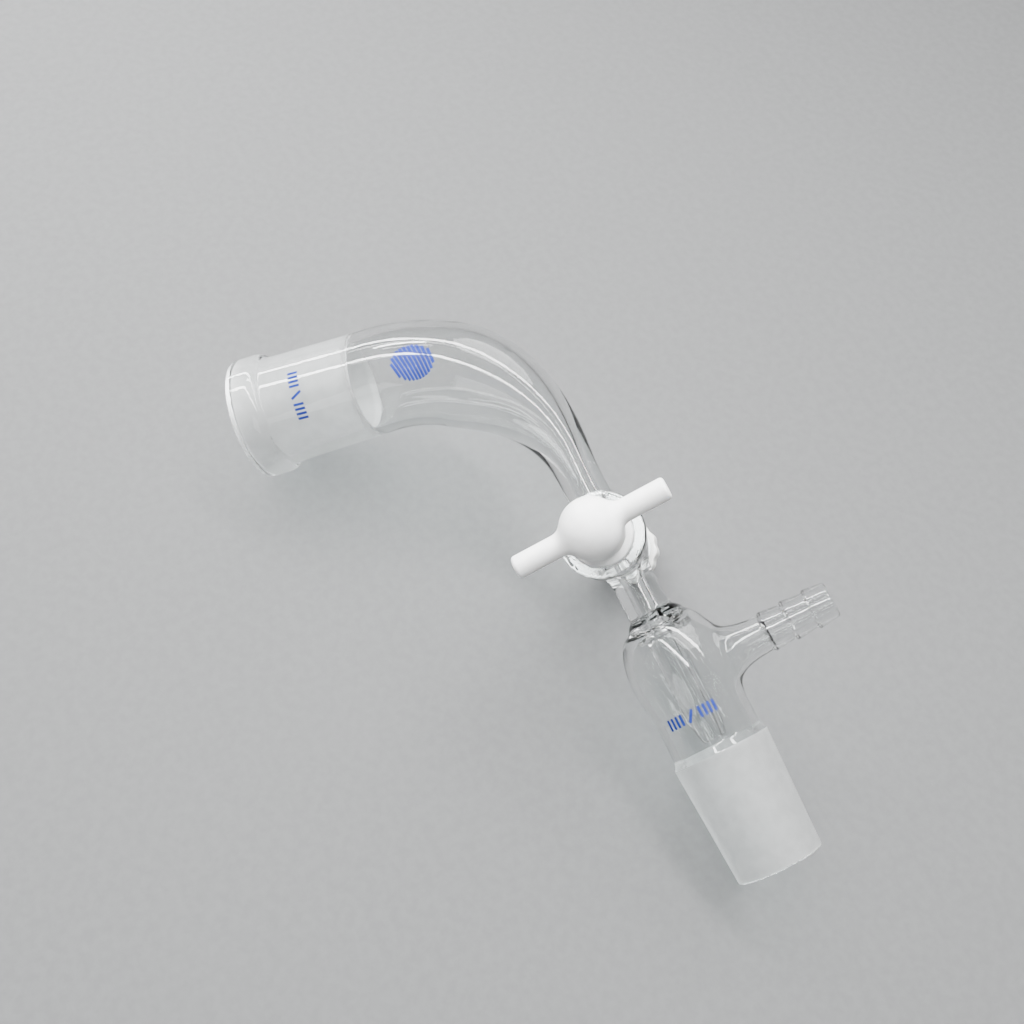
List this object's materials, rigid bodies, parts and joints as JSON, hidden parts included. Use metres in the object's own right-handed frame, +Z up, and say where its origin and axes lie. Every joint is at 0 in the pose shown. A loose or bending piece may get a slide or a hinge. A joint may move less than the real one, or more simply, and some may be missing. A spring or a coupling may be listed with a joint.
{
  "type": "bent distillation take-off adapter with stopcock",
  "caption": "Bent glass take-off adapter: ground socket, curved tube tapering to a PTFE stopcock, drip bulb with serrated hose connection, and ground cone.",
  "frame": {"origin": "middle of the bounding box's base: the adapter lies on a bench, resting on the socket's collar, the tip of the cone and the stopcock's nut", "axes": "+X along the flow axis towards the cone, seen from above; +Z up from the bench; +Y towards the hose connection"},
  "size_m": [0.1788, 0.1078, 0.0675],
  "materials": {
    "clear_glass": "clear borosilicate glass, fire polished",
    "ground_glass": "borosilicate glass ground matt on the joint face",
    "ptfe": "white PTFE, waxy semi-matt",
    "nut_plastic": "white moulded plastic, semi-matt",
    "seal_rubber": "black rubber, matt"
  },
  "bodies": {
    "glass_body": {"socket_joint": "ground_glass", "bend_tube": "clear_glass", "upper_stem": "clear_glass", "stopcock_barrel": "clear_glass", "lower_stem": "clear_glass", "ring_seal": "clear_glass", "drip_tube": "clear_glass", "receiver_bulb": "clear_glass", "side_arm_root": "clear_glass", "hose_barb": "clear_glass", "cone_joint": "ground_glass"},
    "plug": {"stopcock_plug": "ptfe", "tee_handle": "ptfe"},
    "tail_seals": {"tail_washer": "ptfe", "tail_o_ring": "seal_rubber"},
    "nut": {"lock_nut": "nut_plastic"}
  },
  "joints": [
    {"name": "plug_turn", "type": "hinge", "parent": "glass_body", "child": "plug", "pos_m": [0.00483, 0.01654, 0.02833], "axis": [0.1918, -0.429, 0.8827], "continuous": true},
    {"name": "seal_slide", "type": "slide", "parent": "plug", "child": "tail_seals", "axis": [-0.1918, 0.429, -0.8827], "range_m": [0, 0.0015]},
    {"name": "nut_turn", "type": "hinge", "parent": "tail_seals", "child": "nut", "pos_m": [0.00483, 0.01654, 0.02833], "axis": [-0.1918, 0.429, -0.8827], "range_deg": [0, 360]}
  ],
  "couplings": [
    {"joint": "nut_turn", "follows": "seal_slide", "rad_per_m": 4188.8}
  ]
}
